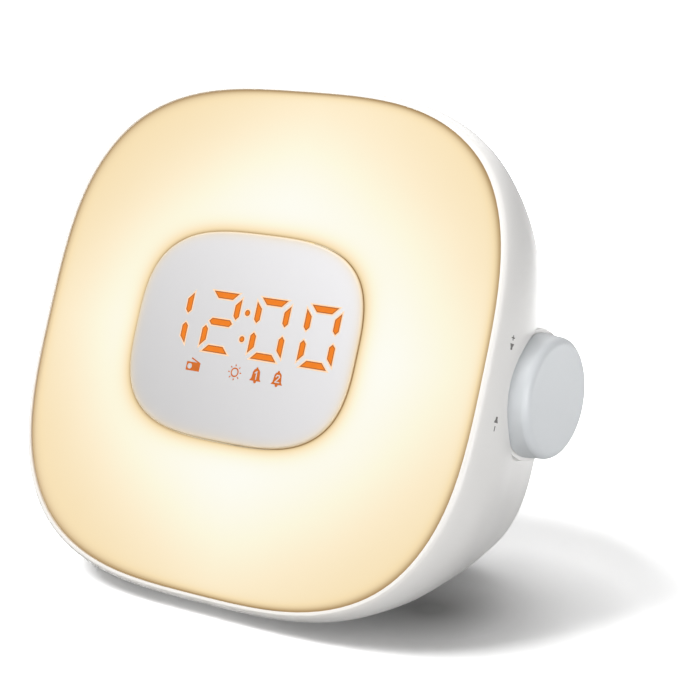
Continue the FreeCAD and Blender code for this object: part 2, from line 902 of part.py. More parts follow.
def digit_block():
    """White block whose cells lead the light from the chips to the display face."""
    half_w = digit_x(len(digits) - 1) + digit_w / 2 + block_margin
    body = block(-half_w, half_w, -block_half_h, block_half_h, block_z0, display_back)
    cells = []
    for i in range(len(digits)):
        for name in "abcdefg":
            points = [(digit_x(i) + x, digit_mid_y + y) for x, y in seven_segment(name, 0)]
            cells.append(polygon(points, block_z0 - past, display_back + past))
    return body.cut(cells)


def display_board():
    w = housing_w - housing_wall - display_gap
    h = housing_h - housing_wall - display_gap
    return slab(w, h, display_corner, display_board_z0, block_z0)


def display_chips():
    """One light chip in the middle of each digit segment's cell."""
    solids = []
    half = display_chip / 2
    for i in range(len(digits)):
        for name in "abcdefg":
            points = seven_segment(name, 0)
            x = digit_x(i) + sum(p[0] for p in points) / len(points)
            y = digit_mid_y + sum(p[1] for p in points) / len(points)
            solids.append(block(
                x - half, x + half, y - half, y + half, block_z0, block_z0 + display_chip_thick))
    return group(solids)


# Reflector and lamp

tray_floor_z = -tray_depth
tray_back_z = -tray_depth - tray_wall
tray_front_z = -ledge_depth - ledge_thick
tray_front_half_w = throat_half_w - tray_wall
tray_front_half_h = throat_half_h - tray_wall
tray_rim_depth = tray_wall - tray_front_z
mainboard_screws = [
    (side * mainboard_screw_x, mainboard_mid_y + rise * mainboard_screw_y)
    for side in (-1, 1) for rise in (-1, 1)
]
lamp_screws = [(side * lamp_screw_x, rise * lamp_screw_y) for side in (-1, 1) for rise in (-1, 1)]
lamp_outer_w = tray_back_half_w - lamp_margin
lamp_outer_h = tray_back_half_h - lamp_margin
lamp_inner_w = display_half_w
lamp_inner_h = display_half_h
lamp_top_z = tray_floor_z + lamp_board_thick
ribbon_slot_w = ribbon_w + 2 * ribbon_gap
ribbon_slot_h = ribbon_thick + 2 * ribbon_gap
wires_slot_w = wire_pitch + 2 * wire_r + 2 * ribbon_gap
wires_slot_h = 2 * wire_r + 2 * ribbon_gap


def tray_solid(out):
    """Tapered tray, its outline moved outwards, between its front and the given back."""
    front = rounded_square(tray_front_half_w + out, tray_front_half_h + out, glow_corner, tray_front_z)
    back_z = tray_back_z if out else tray_floor_z
    back = rounded_square(tray_back_half_w + out, tray_back_half_h + out, glow_corner, back_z)
    return Part.makeLoft([front, back], True, True)


def reflector():
    rim = slab(
        case_w(tray_rim_depth) - wall - tray_gap, case_h(tray_rim_depth) - wall - tray_gap,
        corner_at(tray_rim_depth), -tray_rim_depth, tray_front_z, sink_at(tray_rim_depth))
    posts = [out_rod(standoff_r, x, y, tray_back_z - standoff, tray_back_z + root)
             for x, y in mainboard_screws]
    tray = tray_solid(tray_wall).fuse([rim] + posts).cut(tray_solid(0))
    z0 = tray_back_z - past
    z1 = tray_floor_z + past
    holes = [out_rod(screw_r + screw_fit, x, y, z0 - standoff, tray_back_z - standoff_r)
             for x, y in mainboard_screws]
    holes += [out_rod(screw_r + screw_fit, x, y, z0, z1) for x, y in lamp_screws]
    holes.append(block(-ribbon_slot_w / 2, ribbon_slot_w / 2, -ribbon_slot_h / 2, ribbon_slot_h / 2,
                       z0, z1))
    holes.append(block(-wires_slot_w / 2, wires_slot_w / 2, lamp_wires_y - wires_slot_h / 2,
                       lamp_wires_y + wires_slot_h / 2, z0, z1))
    return tray.cut(holes)


def lamp_board():
    outer = slab(lamp_outer_w, lamp_outer_h, glow_corner, tray_floor_z, lamp_top_z)
    inner = slab(lamp_inner_w, lamp_inner_h, display_corner,
                 tray_floor_z - past, lamp_top_z + past)
    holes = [out_rod(screw_r + screw_play, x, y, tray_floor_z - past, lamp_top_z + past)
             for x, y in lamp_screws]
    return outer.cut([inner] + holes)


def lamp_chips():
    solids = []
    for share, count in zip(lamp_rows, lamp_counts):
        half_w = lamp_inner_w + share * (lamp_outer_w - lamp_inner_w)
        half_h = lamp_inner_h + share * (lamp_outer_h - lamp_inner_h)
        for i in range(count):
            a = 2 * math.pi * (i + 0.5) / count
            c = math.cos(a)
            s = math.sin(a)
            reach = (abs(c / half_w) ** glow_corner + abs(s / half_h) ** glow_corner)
            reach = reach ** (-1 / glow_corner)
            x = reach * c
            y = reach * s
            solids.append(block(x - chip / 2, x + chip / 2, y - chip / 2, y + chip / 2,
                                lamp_top_z, lamp_top_z + chip_thick))
    return group(solids)


def screw(radius, head_r, head, length, x, y, seat_z, heads_back):
    """Round-headed screw; its head lies behind or in front of the seat."""
    way = -1 if heads_back else 1
    cap = rod(head_r, (x, y, seat_z), (0, 0, way), head)
    shank = rod(radius, (x, y, seat_z), (0, 0, -way), length)
    drive = rod(head_r * 0.5, (x, y, seat_z + way * head * 0.5), (0, 0, way), head)
    return cap.fuse(shank).removeSplitter().cut(drive)


def lamp_screw_set():
    return group(
        screw(screw_r, screw_head_r, screw_head, lamp_board_thick + tray_wall + past,
              x, y, lamp_top_z, False)
        for x, y in lamp_screws)


# Main board

mainboard_z1 = tray_back_z - standoff
mainboard_z0 = mainboard_z1 - board_thick


def on_mainboard(x, y, w, h, height):
    """Block on the board's back, placed about the board's middle."""
    mid_y = mainboard_mid_y + y
    return block(x - w / 2, x + w / 2, mid_y - h / 2, mid_y + h / 2,
                 mainboard_z0 - height, mainboard_z0)


def main_board():
    w = mainboard_w / 2
    h = mainboard_h / 2
    board = block(-w, w, mainboard_mid_y - h, mainboard_mid_y + h, mainboard_z0, mainboard_z1)
    holes = [out_rod(screw_r + screw_play, x, y, mainboard_z0 - past, mainboard_z1 + past)
             for x, y in mainboard_screws]
    return board.cut(holes)


def mainboard_screw_set():
    return group(
        screw(screw_r, screw_head_r, screw_head, board_thick + screw_grip, x, y, mainboard_z0, True)
        for x, y in mainboard_screws)


def board_chips():
    return group(on_mainboard(*place) for place in board_chip_places)


def capacitors():
    return group(
        out_rod(r, x, mainboard_mid_y + y, mainboard_z0 - capacitor_slender * r, mainboard_z0)
        for x, y, r in capacitor_places)


def inductor():
    core = on_mainboard(inductor_x, inductor_y, inductor_side, inductor_side, inductor_height)
    upright = [edge for edge in core.Edges
               if abs(edge.Vertexes[0].Z - edge.Vertexes[1].Z) > inductor_round]
    return core.makeFillet(inductor_round, upright)


def board_sockets():
    return group([
        on_mainboard(0, upper_sockets_y, wide_socket_w, socket_h, socket_height),
        on_mainboard(-side_socket_x, upper_sockets_y, socket_w, socket_h, socket_height),
        on_mainboard(side_socket_x, upper_sockets_y, socket_w, socket_h, socket_height),
        on_mainboard(0, inlet_socket_y, inlet_socket_w, socket_h, socket_height),
    ])


# Knobs and encoders; drawn for the right side

knob_base_x = boss_x + recess_gap


def knob():
    """Round cap with a large soft edge, hollow behind, with a hub for the shaft."""
    r_face = knob_r - knob_draft
    turn = math.radians(45)
    mid = vec(knob_face_x - knob_round * (1 - math.cos(turn)),
              r_face - knob_round * (1 - math.sin(turn)), 0)
    edges = [
        Part.makeLine(vec(knob_base_x, 0, 0), vec(knob_base_x, knob_r, 0)),
        Part.makeLine(vec(knob_base_x, knob_r, 0), vec(knob_face_x - knob_round, r_face, 0)),
        Part.Arc(vec(knob_face_x - knob_round, r_face, 0), mid,
                 vec(knob_face_x, r_face - knob_round, 0)).toShape(),
        Part.makeLine(vec(knob_face_x, r_face - knob_round, 0), vec(knob_face_x, 0, 0)),
        Part.makeLine(vec(knob_face_x, 0, 0), vec(knob_base_x, 0, 0)),
    ]
    cap = Part.Face(Part.Wire(edges)).revolve(vec(0, 0, 0), vec(1, 0, 0), 360)
    cap.translate(vec(0, 0, -knob_depth))
    ceiling = knob_face_x - knob_skin
    hollow = side_rod(r_face - knob_skin, knob_base_x - past, ceiling)
    hub = side_rod(hub_r, ceiling - hub_length, ceiling + root)
    bore = side_rod(shaft_r + shaft_fit / 2, ceiling - hub_length - past, ceiling)
    return cap.cut(hollow).fuse(hub).cut(bore)


def encoder_shaft():
    """Shaft with a flat, turning with the knob."""
    inner = floor_x - encoder_thick + encoder_floor
    end = knob_face_x - knob_skin
    shaft = side_rod(shaft_r, inner, end)
    flat = block(end - hub_length, end + past, shaft_r - shaft_flat, shaft_r + past,
                 -knob_depth - 2 * shaft_r, -knob_depth + 2 * shaft_r)
    return shaft.cut(flat)


def encoder():
    half = encoder_side / 2
    back_x = floor_x - encoder_thick
    body = block(back_x, floor_x, -half, half, -knob_depth - half, -knob_depth + half)
    bush = side_rod(bush_r, floor_x - root, floor_x + bush_length)
    pins = []
    for i in (-1, 0, 1):
        z = -knob_depth + i * encoder_pin_pitch
        pins.append(block(back_x + root, back_x + 2 * root, -half - encoder_pin, -half + root,
                          z - root, z + root))
    bore = side_rod(shaft_r + shaft_fit, back_x + encoder_floor - recess_gap,
                    floor_x + bush_length + past)
    return body.fuse([bush] + pins).cut(bore)


def encoder_nut():
    corner_r = nut_flats / math.sqrt(3)
    points = []
    for i in range(6):
        a = math.radians(60 * i)
        points.append(vec(boss_x, corner_r * math.cos(a), corner_r * math.sin(a) - knob_depth))
    nut = Part.Face(Part.makePolygon(points + points[:1])).extrude(vec(nut_thick, 0, 0))
    return nut.cut(side_rod(bush_r + screw_fit, boss_x - past, boss_x + nut_thick + past))


# Rear buttons and their switches

button_flange_z = back_inner_z + button_slack
button_stem_z = button_flange_z + button_flange + button_stem
switch_top_z = button_stem_z + button_travel + switch_slack
switch_board_z0 = switch_top_z + switch_nub + switch_thick
switch_post_x = button_x(len(button_names) - 1) + switch_post_out


def rear_button(index):
    x = button_x(index)
    outer_z = -case_depth - button_proud
    cap = out_rod(button_r, x, button_y, outer_z, button_flange_z)
    rim = [edge for edge in cap.Edges
           if abs(edge.Vertexes[0].Z - outer_z) < 0.01 and len(edge.Vertexes) == 1]
    cap = cap.makeFillet(button_edge, rim)
    flange = out_rod(button_r + button_flange_out, x, button_y,
                     button_flange_z, button_flange_z + button_flange)
    stem = out_rod(button_stem_r, x, button_y, button_flange_z, button_stem_z)
    return cap.fuse([flange, stem]).removeSplitter()


def button_switches():
    half = switch_side / 2
    solids = []
    for i in range(len(button_names)):
        x = button_x(i)
        body = block(x - half, x + half, button_y - half, button_y + half,
                     switch_top_z + switch_nub, switch_board_z0)
        nub = out_rod(switch_nub_r, x, button_y, switch_top_z, switch_top_z + switch_nub + root)
        solids.append(body.fuse(nub))
    return group(solids)


def button_board():
    half_w = switch_post_x + switch_board_end
    z1 = switch_board_z0 + board_thick
    plate = block(-half_w, half_w, button_y - switch_board_h / 2, button_y + switch_board_h / 2,
                  switch_board_z0, z1)
    return plate.cut([
        out_rod(screw_r + screw_play, side * switch_post_x, button_y, switch_board_z0 - past,
                z1 + past)
        for side in (-1, 1)
    ])


def button_board_posts():
    """Posts of the rear cover that carry the switch board."""
    return [
        out_ring(switch_post_r, screw_r + screw_fit, side * switch_post_x, button_y,
                 back_inner_z - root, switch_board_z0)
        for side in (-1, 1)
    ]


def button_board_screws():
    return group(
        screw(screw_r, screw_head_r, screw_head, board_thick + screw_grip, side * switch_post_x,
              button_y, switch_board_z0 + board_thick, False)
        for side in (-1, 1))


def back_screw_set():
    return group(
        screw(back_screw_r, back_screw_head_r, back_screw_head, back_screw_length, x, y,
              back_screw_seat_z, True)
        for x, y in back_screws)


# Loudspeaker: its rim lies on the inside of the back, its magnet points into the case

speaker_seat_z = back_inner_z + speaker_seat
speaker_plate_z = back_inner_z + speaker_depth
speaker_end_z = speaker_plate_z + speaker_metal
surround_r = speaker_r - speaker_rim / 2 - surround_w / 2
cone_r = surround_r - surround_w / 2


def speaker_basket():
    """Pressed frame: rim, open bowl, plate for the magnet and a tab for the wires."""
    x = speaker_x
    y = speaker_y
    rim = out_ring(speaker_r, cone_r + surround_w, x, y, back_inner_z, speaker_seat_z)
    bowl = out_cone(speaker_r, magnet_r, x, y, speaker_seat_z, speaker_plate_z)
    bowl = bowl.cut(out_cone(speaker_r - speaker_metal, magnet_r - speaker_metal, x, y,
                             speaker_seat_z, speaker_plate_z))
    plate = out_ring(magnet_r, coil_r + speaker_metal, x, y, speaker_plate_z, speaker_end_z)
    tab = block(x - terminal_w / 2, x + terminal_w / 2, y + magnet_r - speaker_metal,
                y + magnet_r + terminal_out, speaker_plate_z, speaker_end_z)
    windows = []
    for i in range(4):
        window = block(magnet_r - 2 * speaker_metal, speaker_r + past,
                       -speaker_window / 2, speaker_window / 2,
                       speaker_seat_z + speaker_metal, speaker_plate_z - speaker_metal)
        window.rotate(vec(0, 0, 0), vec(0, 0, 1), 45 + 90 * i)
        window.translate(vec(x, y, 0))
        windows.append(window)
    return rim.fuse([bowl, plate]).cut(windows).fuse(tab)


def speaker_magnet():
    return out_rod(magnet_r - speaker_metal, speaker_x, speaker_y, speaker_end_z,
                   speaker_end_z + magnet_thick)


def speaker_surround():
    """Half-round rubber ring between the cone and the rim, bulging towards the grille."""
    half = surround_w / 2
    z1 = speaker_seat_z
    z0 = z1 - surround_thick
    dip = half - surround_thick
    inner = surround_r - half
    outer = surround_r + half
    edges = [
        Part.Arc(vec(inner, 0, z1), vec(surround_r, 0, z1 - dip), vec(outer, 0, z1)),
        Part.LineSegment(vec(outer, 0, z1), vec(outer, 0, z0)),
        Part.Arc(vec(outer, 0, z0), vec(surround_r, 0, z0 - dip), vec(inner, 0, z0)),
        Part.LineSegment(vec(inner, 0, z0), vec(inner, 0, z1)),
    ]
    ring = Part.Face(Part.Wire([edge.toShape() for edge in edges]))
    ring = ring.revolve(vec(0, 0, 0), vec(0, 0, 1), 360)
    ring.translate(vec(speaker_x, speaker_y, 0))
    return ring


def speaker_cone():
    """Paper cone with its dust cap and the voice coil's tube."""
    x = speaker_x
    y = speaker_y
    z0 = speaker_seat_z
    z1 = speaker_plate_z - speaker_metal
    skin = out_cone(cone_r, coil_r, x, y, z0, z1)
    skin = skin.cut(out_cone(cone_r - cone_thick, coil_r - cone_thick, x, y, z0, z1))
    cap_z = z1 - surround_thick
    cap = out_cone(coil_r / 2, coil_r - cone_thick / 2, x, y, cap_z - coil_r / 3, cap_z)
    tube = out_ring(coil_r, coil_r - cone_thick, x, y, cap_z - cone_thick, speaker_plate_z)
    return skin.fuse([cap, tube])


# Power inlet and aerial gland

def dc_jack():
    z0 = back_inner_z
    body = block(jack_x - jack_w / 2, jack_x + jack_w / 2, jack_y - jack_h / 2, jack_y + jack_h / 2,
                 z0, z0 + jack_length)
    nose = out_rod(jack_bore_r + jack_rim, jack_x, jack_y, -case_depth + jack_sink, z0 + root)
    bore = out_rod(jack_bore_r, jack_x, jack_y, -case_depth - past, z0 + jack_length - jack_back)
    return body.fuse(nose).cut(bore)


def jack_pin():
    z0 = -case_depth + jack_pin_sink
    pin = out_rod(jack_pin_r, jack_x, jack_y, z0, back_inner_z + jack_length - jack_back)
    tip_edge = [edge for edge in pin.Edges
                if len(edge.Vertexes) == 1 and abs(edge.Vertexes[0].Z - z0) < jack_pin_r / 2]
    return pin.makeFillet(jack_pin_r / 2, tip_edge)


def aerial_gland():
    """Rubber bush for a wire aerial, snapped into the rear cover."""
    tip_z = -case_depth - gland_proud
    collar_z = back_inner_z + gland_collar
    nose = out_cone(gland_r - gland_lip, gland_r + gland_lip, gland_x, gland_y, tip_z, -case_depth)
    neck = out_rod(gland_r - screw_fit, gland_x, gland_y, -case_depth, back_inner_z)
    collar = out_rod(gland_r + gland_lip, gland_x, gland_y, back_inner_z, collar_z)
    bore = out_rod(gland_bore_r, gland_x, gland_y, tip_z - past, collar_z + past)
    return nose.fuse([neck, collar]).cut(bore)


# Snooze bar and its switch

def snooze_bar():
    grown = case_skin(-snooze_proud, ledge_depth, seam_depth)
    body = on_top(stadium(snooze_w, snooze_h, -snooze_body, 2 * snooze_body))
    body = body.common(grown)
    flange = on_top(stadium(snooze_w + 2 * snooze_flange_out, snooze_h + 2 * snooze_flange_out,
                            -snooze_body, -snooze_body + snooze_flange))
    return body.fuse(flange).removeSplitter()


def snooze_board():
    z1 = -snooze_board_drop
    plate = block(-snooze_board_w / 2, snooze_board_w / 2, -snooze_board_h / 2, snooze_board_h / 2,
                  z1 - board_thick, z1)
    holes = [
        out_rod(screw_r + screw_play, side * snooze_screw_x, 0, z1 - board_thick - past, z1 + past)
        for side in (-1, 1)
    ]
    return on_top(plate.cut(holes))


def snooze_switch():
    z0 = -snooze_board_drop
    half = switch_side / 2
    body = block(-half, half, -half, half, z0, z0 + snooze_switch_thick)
    nub_top = -snooze_body - snooze_travel - switch_slack
    nub = out_rod(switch_nub_r, 0, 0, z0 + root, nub_top)
    return on_top(body.fuse(nub))


def snooze_screws():
    seat = -snooze_board_drop - board_thick
    return group(
        on_top(screw(screw_r, screw_head_r, screw_head, board_thick + screw_grip,
                     side * snooze_screw_x, 0, seat, True))
        for side in (-1, 1))


# Ribbon and wires between the boards

def straight(start, end):
    """A straight stretch of wire."""
    return Part.makeCylinder(wire_r, (end - start).Length, start, end - start)


def bend(corner, before, after):
    """The bend of a wire at a corner, between the directions before and after it."""
    turn = before.getAngle(after)
    first = corner - before * (wire_bend * math.tan(turn / 2))
    axis = before.cross(after).normalize()
    middle = first + axis.cross(before) * wire_bend
    end_face = Part.Face(Part.Wire([Part.Circle(first, before, wire_r).toShape()]))
    return end_face.revolve(middle, axis, math.degrees(turn))


def wire(start, leave, end, arrive):
    """A wire that runs straight from both its ends, with a bend at each end of its middle stretch."""
    corners = [start + leave * wire_lead, end - arrive * wire_lead]
    across = (corners[1] - corners[0]).normalize()
    trims = [wire_bend * math.tan(leave.getAngle(across) / 2),
             wire_bend * math.tan(across.getAngle(arrive) / 2)]
    pieces = [bend(corners[0], leave, across),
              straight(corners[0] + across * trims[0], corners[1] - across * trims[1]),
              bend(corners[1], across, arrive),
              straight(corners[1] + arrive * trims[1], end)]
    return straight(start, corners[0] - leave * trims[0]).multiFuse(pieces)


def wires(count, start, leave, start_step, end, arrive, end_step):
    """Wires side by side; leave and arrive are the directions in which they start and end."""
    solids = []
    for i in range(count):
        shift = i - (count - 1) / 2
        solids += wire(start + start_step * shift, leave, end + end_step * shift, arrive).Solids
    return group(solids)


out = vec(0, 0, 1)
inwards = vec(0, 0, -1)
wire_step = vec(wire_pitch, 0, 0)
socket_z = mainboard_z0 - socket_height
sockets_y = mainboard_mid_y + upper_sockets_y


def display_ribbon():
    return block(-ribbon_w / 2, ribbon_w / 2, -ribbon_thick / 2, ribbon_thick / 2,
                 mainboard_z1, display_board_z0)


def lamp_wires():
    """Straight wires from the lamp board to the main board behind it."""
    front = vec(0, lamp_wires_y, tray_floor_z)
    back = vec(0, lamp_wires_y, mainboard_z1)
    side = wire_step / 2
    return group([straight(front - side, back - side), straight(front + side, back + side)])


def speaker_wires():
    start = vec(speaker_x, speaker_y + magnet_r + terminal_out / 2, speaker_end_z)
    end = vec(-side_socket_x, sockets_y, socket_z)
    return wires(2, start, out, wire_step, end, out, wire_step)


def button_wires():
    start = vec(0, button_y, switch_board_z0 + board_thick)
    return wires(2, start, out, wire_step, vec(0, sockets_y, socket_z), out, wire_step)


def snooze_wires():
    place = snooze_place()
    start = place.multVec(vec(snooze_wires_x, 0, -snooze_board_drop - board_thick))
    end = vec(side_socket_x, sockets_y, mainboard_z1)
    return wires(2, start, place.Rotation.multVec(inwards), wire_step, end, inwards, wire_step)


def inlet_wires():
    start = vec(jack_x, jack_y, back_inner_z + jack_length)
    end = vec(0, mainboard_mid_y + inlet_socket_y, socket_z)
    return wires(2, start, out, wire_step, end, out, wire_step)


def encoder_wires():
    start = vec(floor_x - encoder_thick + 1.5 * root, -encoder_side / 2 - encoder_pin, -knob_depth)
    end = vec(encoder_wires_x, encoder_wires_y, mainboard_z1)
    right = wires(3, start, vec(0, -1, 0), vec(0, 0, encoder_pin_pitch),
                  end, inwards, vec(0, encoder_pin_pitch, 0))
    left = right.mirror(vec(0, 0, 0), vec(1, 0, 0))
    return group(right.Solids + left.Solids)


parts = {
    "case_shell": case_shell(),
    "rear_cover": rear_cover(),
    "diffuser": diffuser(),
    "display_face": display_face(),
    "digit_segments": group(digit_inlays(0)),
    "display_icons": group(icon_inlays(0)),
    "display_housing": display_housing(),
    "digit_block": digit_block(),
    "display_board": display_board(),
    "display_chips": display_chips(),
    "reflector": reflector(),
    "lamp_board": lamp_board(),
    "lamp_chips": lamp_chips(),
    "lamp_screws": lamp_screw_set(),
    "main_board": main_board(),
    "main_board_screws": mainboard_screw_set(),
    "board_chips": board_chips(),
    "capacitors": capacitors(),
    "inductor": inductor(),
    "board_sockets": board_sockets(),
    "speaker_basket": speaker_basket(),
    "speaker_magnet": speaker_magnet(),
    "speaker_surround": speaker_surround(),
    "speaker_cone": speaker_cone(),
    "power_inlet": dc_jack(),
    "inlet_pin": jack_pin(),
    "aerial_gland": aerial_gland(),
    "coin_cell": coin_cell(),
    "cell_contact": cell_contact(),
    "cell_cover": cell_cover(),
    "button_board": button_board(),
    "button_switches": button_switches(),
    "button_board_screws": button_board_screws(),
    "rear_cover_screws": back_screw_set(),
    "snooze_bar": snooze_bar(),
    "snooze_board": snooze_board(),
    "snooze_switch": snooze_switch(),
    "snooze_screws": snooze_screws(),
    "rubber_feet": rubber_feet(),
    "display_ribbon": display_ribbon(),
    "lamp_wires": lamp_wires(),
    "speaker_wires": speaker_wires(),
    "button_wires": button_wires(),
    "snooze_wires": snooze_wires(),
    "inlet_wires": inlet_wires(),
    "encoder_wires": encoder_wires(),
}
for index, name in enumerate(button_names):
    parts[name + "_button"] = rear_button(index)
for name, shape in (("knob", knob()), ("shaft", encoder_shaft()), ("encoder", encoder()),
                    ("nut", encoder_nut())):
    right, left = both_sides(shape)
    parts["volume_" + name] = right
    parts["brightness_" + name] = left

# Stand the clock on the table, with the middle of its whole box at the origin.
for shape in parts.values():
    shape.Placement = stand.multiply(shape.Placement)
bounds = [shape.optimalBoundingBox(False, False) for shape in parts.values()]
middle_y = (min(b.YMin for b in bounds) + max(b.YMax for b in bounds)) / 2
os.makedirs("parts", exist_ok=True)
for name, shape in parts.items():
    shape.translate(vec(0, -middle_y, 0))
    shape.exportStep("parts/" + name + ".step")
    print(name, len(shape.Solids), shape.isValid(), round(shape.Volume / 1000, 2))
print("box", [round(v, 2) for v in (
    min(b.XMin for b in bounds), max(b.XMax for b in bounds),
    min(b.YMin for b in bounds) - middle_y, max(b.YMax for b in bounds) - middle_y,
    min(b.ZMin for b in bounds), max(b.ZMax for b in bounds))], "face middle y", round(-middle_y, 3))
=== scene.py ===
import json
import math

import bmesh
import bpy
from mathutils import Matrix, Vector
from mathutils.bvhtree import BVHTree


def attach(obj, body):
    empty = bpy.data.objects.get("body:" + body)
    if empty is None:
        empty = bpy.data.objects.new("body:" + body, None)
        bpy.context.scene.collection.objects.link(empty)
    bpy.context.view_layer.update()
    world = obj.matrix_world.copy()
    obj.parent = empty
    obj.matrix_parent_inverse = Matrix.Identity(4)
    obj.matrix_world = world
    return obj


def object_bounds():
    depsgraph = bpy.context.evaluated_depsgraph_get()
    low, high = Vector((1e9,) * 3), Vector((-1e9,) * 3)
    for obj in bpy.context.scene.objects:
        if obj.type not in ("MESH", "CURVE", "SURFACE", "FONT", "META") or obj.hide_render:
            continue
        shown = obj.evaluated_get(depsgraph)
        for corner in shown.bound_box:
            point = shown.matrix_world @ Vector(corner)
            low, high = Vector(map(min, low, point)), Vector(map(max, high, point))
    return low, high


# The looks of a sunrise alarm clock: a glowing face with a display in its middle, in a white case
# that leans back. Lengths are metres, unless a name or comment says millimetres.

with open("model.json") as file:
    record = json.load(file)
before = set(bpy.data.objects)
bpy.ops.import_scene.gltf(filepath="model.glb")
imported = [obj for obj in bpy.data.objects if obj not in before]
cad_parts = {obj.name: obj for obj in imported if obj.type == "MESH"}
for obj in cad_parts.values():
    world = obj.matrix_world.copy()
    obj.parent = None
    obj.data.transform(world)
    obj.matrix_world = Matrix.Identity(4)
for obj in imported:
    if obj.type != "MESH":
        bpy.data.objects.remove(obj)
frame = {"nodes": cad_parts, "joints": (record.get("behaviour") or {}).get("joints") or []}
cad_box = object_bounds()
nodes = frame["nodes"]
mm = 0.001

# Face of the clock: x to the right, y up along the leaning face, z out of it
face_lean = math.radians(21.4)
knob_depth = 32.5 * mm
face_up = Vector((0, math.sin(face_lean), math.cos(face_lean)))
face_out = Vector((0, -math.cos(face_lean), math.sin(face_lean)))

# Outlines of the lamp's face and of its window, half sizes in millimetres
lamp_outline = (93.0, 88.5, 3.12)
window_outline = (47.2, 36.4, 3.14)
display_top = 4.9               # the display's surface in front of the face's plane
# The painted shade of the display's side wall begins and is full at these depths
display_wall_start = 0.35       # below the surface, where the rounded rim turns into the side
display_wall_end = 0.8

# Glow of the lamp: brightest on a soft ring round the window
ring_outline = (60.4, 56.0, 1.5)
ring_shift = (8.2, -0.9)
ring_reach = 1.48
ring_fall = 3.56
far_level = 0.67
# Painted shade in the glow: darker next to the window, with a dark line of painted gap shadow at
# the window's edge
window_painted_shade = 0.42
window_painted_shade_reach = 2.7
window_gap_shadow = 0.3
window_gap_shadow_reach = 0.3
# Painted shade along the lamp's outer edge, where the case's lip shades it, reaching further in at
# the left
edge_painted_shade = 0.46
edge_painted_shade_reach = 1.0
edge_painted_shade_reach_left = 1.9

# Camera: turned to the right of the face and above it
camera_turn = math.radians(34.9)
camera_rise = math.radians(13.0)
camera_distance = 0.6877
axis_right_of_face = 0.0344
axis_below_face = 0.0033
camera_lens = 102.86
camera_sensor = 36.0

# Painted shadow on the floor: its tones, by the distance in metres from the dark core of the
# clock's shadow
shadow_core = (0.061, -0.014, 0)
shadow_start = 0.005
shadow_end = 0.075
dim_start = 0.2                 # from here on the lamps reach the floor less and less
dim_end = 0.9

# Printed marks, in millimetres
digit_glow_width = 0.45
digit_edge_width = 0.35
ink_proud = 0.03
ink_sunk = 0.03
side_mark_depth = 8.0           # behind the face's plane
sign_height = 14.9              # plus and minus above and below the knob's axis
symbol_height = 12.0
back_depth = 100.0
button_pitch = 16.5
button_mark_y = 15.0


def joint(name):
    return next(j for j in frame["joints"] if j["name"] == name)


def face_middle():
    """The knob's axis lies straight behind the middle of the face."""
    anchor = Vector(joint("volume_knob_turn")["pos_m"])
    anchor.x = 0
    return anchor + knob_depth * face_out


middle = face_middle()
face_place = Matrix((
    (1, face_up.x, face_out.x, middle.x),
    (0, face_up.y, face_out.y, middle.y),
    (0, face_up.z, face_out.z, middle.z),
    (0, 0, 0, 1),
))


def on_face(x, y, z):
    """Point in the row frame from millimetres in the face's frame."""
    return face_place @ (mm * Vector((x, y, z)))


def srgb(red, green, blue):
    """Linear colour from the three bytes of a screen colour."""
    def linear(byte):
        value = byte / 255
        return value / 12.92 if value <= 0.04045 else ((value + 0.055) / 1.055) ** 2.4
    return (linear(red), linear(green), linear(blue), 1.0)


# Materials

